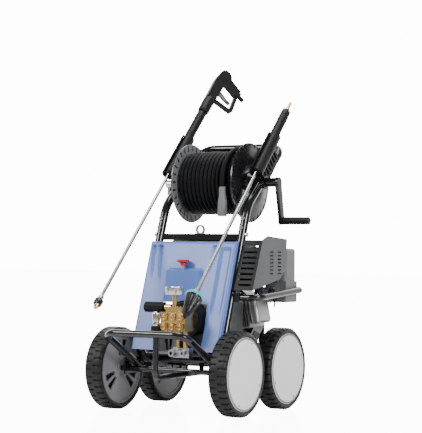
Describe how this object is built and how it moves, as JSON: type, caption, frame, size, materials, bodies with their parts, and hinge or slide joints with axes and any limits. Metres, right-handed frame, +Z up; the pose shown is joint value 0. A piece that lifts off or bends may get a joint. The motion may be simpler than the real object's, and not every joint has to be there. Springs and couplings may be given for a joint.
{
  "type": "pressure washer",
  "caption": "Four-wheeled petrol pressure washer with a lean-back tube frame, hose reel with crank, two lances in side holders and a brass pump in front of a blue panel.",
  "frame": {"origin": "middle of the whole machine at the ground (centre of its box without the hose)", "axes": "+Z up, -Y towards the front bumper and pump, +X towards the crank side"},
  "size_m": [0.65, 0.9766, 1.3143],
  "materials": {
    "frame_black": "gloss powder coat",
    "plate_grey": "satin powder coat",
    "panel_blue": "moulded, satin gloss",
    "steel": "zinc plated",
    "tyre_rubber": "matte, ribbed tread",
    "rim_grey": "moulded grey with pale caps",
    "black_plastic": "moulded black",
    "grey_plastic": "moulded grey",
    "red_plastic": "moulded red",
    "hose_rubber": "smooth black cover",
    "brass": "machined and cast",
    "engine_cast": "cast",
    "black_cast": "painted casting"
  },
  "bodies": {
    "chassis": {"chassis_frame": "frame_black", "push_handle": "frame_black", "reel_bearings": "black_plastic", "front_bumper": "frame_black", "engine_guard_hoop": "frame_black", "engine_deck": "plate_grey", "axles": "steel", "front_panel": "panel_blue", "lifting_eye": "steel", "lance_holder_left": "black_plastic", "lance_holder_right": "black_plastic", "pump_head": "brass", "valve_plugs": "brass", "pump_crankcase": "black_cast", "pressure_gauge": "engine_cast", "inlet_filter": "engine_cast", "hydraulic_fittings": "brass", "engine_crankcase": "engine_cast", "engine_cylinder": "engine_cast", "rocker_cover": "engine_cast", "fan_shroud": "black_plastic", "fuel_tank": "black_plastic", "air_cleaner": "grey_plastic", "carburettor": "engine_cast", "muffler": "black_cast", "muffler_guard": "plate_grey", "frame_bolts": "steel"},
    "wheel_front_left": {"tyre_front_left": "tyre_rubber", "rim_front_left": "rim_grey"},
    "wheel_front_right": {"tyre_front_right": "tyre_rubber", "rim_front_right": "rim_grey"},
    "wheel_rear_left": {"tyre_rear_left": "tyre_rubber", "rim_rear_left": "rim_grey"},
    "wheel_rear_right": {"tyre_rear_right": "tyre_rubber", "rim_rear_right": "rim_grey"},
    "reel": {"reel_flange_left": "black_plastic", "reel_flange_right": "black_plastic", "reel_shaft": "steel", "hose_pack": "hose_rubber", "hose_tail": "hose_rubber", "hose_sleeve": "grey_plastic", "crank_arm": "black_plastic"},
    "crank_handle": {"crank_grip": "black_plastic"},
    "lance_left": {"gun_body": "black_plastic", "lance_grip_left": "black_plastic", "lance_pipe_left": "steel", "flat_jet_nozzle": "steel"},
    "trigger": {"gun_trigger": "grey_plastic"},
    "catch": {"safety_catch": "grey_plastic"},
    "lance_right": {"lance_grip_right": "black_plastic", "lance_pipe_right": "steel", "turbo_nozzle": "black_plastic"},
    "stop_knob": {"red_knob": "red_plastic"},
    "regulator_knob": {"unloader_knob": "black_plastic"},
    "needle": {"gauge_needle": "red_plastic"},
    "engine_shaft": {"crankshaft": "steel"},
    "starter_handle": {"recoil_handle": "black_plastic"},
    "tank_cap": {"fuel_cap": "black_plastic"},
    "throttle": {"throttle_lever": "black_plastic"},
    "choke": {"choke_lever": "black_plastic"}
  },
  "joints": [
    {"name": "spin_front_left", "type": "hinge", "parent": "chassis", "child": "wheel_front_left", "pos_m": [-0.28995, -0.2308, 0.15], "axis": [1, 0, 0], "continuous": true},
    {"name": "spin_front_right", "type": "hinge", "parent": "chassis", "child": "wheel_front_right", "pos_m": [0.21885, -0.2308, 0.15], "axis": [1, 0, 0], "continuous": true},
    {"name": "spin_rear_left", "type": "hinge", "parent": "chassis", "child": "wheel_rear_left", "pos_m": [-0.28995, 0.1016, 0.15], "axis": [1, 0, 0], "continuous": true},
    {"name": "spin_rear_right", "type": "hinge", "parent": "chassis", "child": "wheel_rear_right", "pos_m": [0.21885, 0.1016, 0.15], "axis": [1, 0, 0], "continuous": true},
    {"name": "reel_spin", "type": "hinge", "parent": "chassis", "child": "reel", "pos_m": [-0.03555, 0.09087, 0.836], "axis": [1, 0, 0], "continuous": true},
    {"name": "crank_grip_spin", "type": "hinge", "parent": "reel", "child": "crank_handle", "pos_m": [0.21695, 0.12101, 0.69417], "axis": [1, 0, 0], "continuous": true},
    {"name": "lance_left_lift", "type": "slide", "parent": "chassis", "child": "lance_left", "axis": [0, 0.7009, 0.7133], "range_m": [0, 0.21]},
    {"name": "trigger_pull", "type": "hinge", "parent": "lance_left", "child": "trigger", "pos_m": [-0.21684, 0.37895, 1.21765], "axis": [0.829, -0.3988, 0.3919], "range_deg": [0, 14], "stiffness_Nm_per_rad": 0.6, "springref_deg": -17.19},
    {"name": "safety_catch_turn", "type": "hinge", "parent": "trigger", "child": "catch", "pos_m": [-0.18888, 0.4008, 1.18075], "axis": [0.829, -0.3988, 0.3919], "range_deg": [0, 60]},
    {"name": "lance_right_lift", "type": "slide", "parent": "chassis", "child": "lance_right", "axis": [0, 0.7009, 0.7133], "range_m": [0, 0.21]},
    {"name": "red_knob_pull", "type": "slide", "parent": "chassis", "child": "stop_knob", "axis": [0, 0, 1], "range_m": [0, 0.012]},
    {"name": "pressure_knob_turn", "type": "hinge", "parent": "chassis", "child": "regulator_knob", "pos_m": [-0.04805, -0.2786, 0.378], "axis": [1, 0, 0], "range_deg": [0, 1080]},
    {"name": "gauge_needle_turn", "type": "hinge", "parent": "chassis", "child": "needle", "pos_m": [-0.01155, -0.2746, 0.439], "axis": [0, 0, -1], "range_deg": [0, 270]},
    {"name": "engine_shaft_spin", "type": "hinge", "parent": "chassis", "child": "engine_shaft", "pos_m": [0.00245, 0.0154, 0.335], "axis": [0, 1, 0], "continuous": true},
    {"name": "starter_pull", "type": "slide", "parent": "chassis", "child": "starter_handle", "axis": [0, 1, 0], "range_m": [0, 0.5], "stiffness_N_per_m": 25, "springref_m": -0.05},
    {"name": "tank_cap_turn", "type": "hinge", "parent": "chassis", "child": "tank_cap", "pos_m": [-0.10555, 0.0414, 0.622], "axis": [0, 0, 1], "range_deg": [0, 90]},
    {"name": "throttle_turn", "type": "hinge", "parent": "chassis", "child": "throttle", "pos_m": [0.18845, 0.1054, 0.404], "axis": [1, 0, 0], "range_deg": [0, 25]},
    {"name": "choke_turn", "type": "hinge", "parent": "chassis", "child": "choke", "pos_m": [0.18845, 0.1034, 0.432], "axis": [1, 0, 0], "range_deg": [-20, 0]}
  ]
}
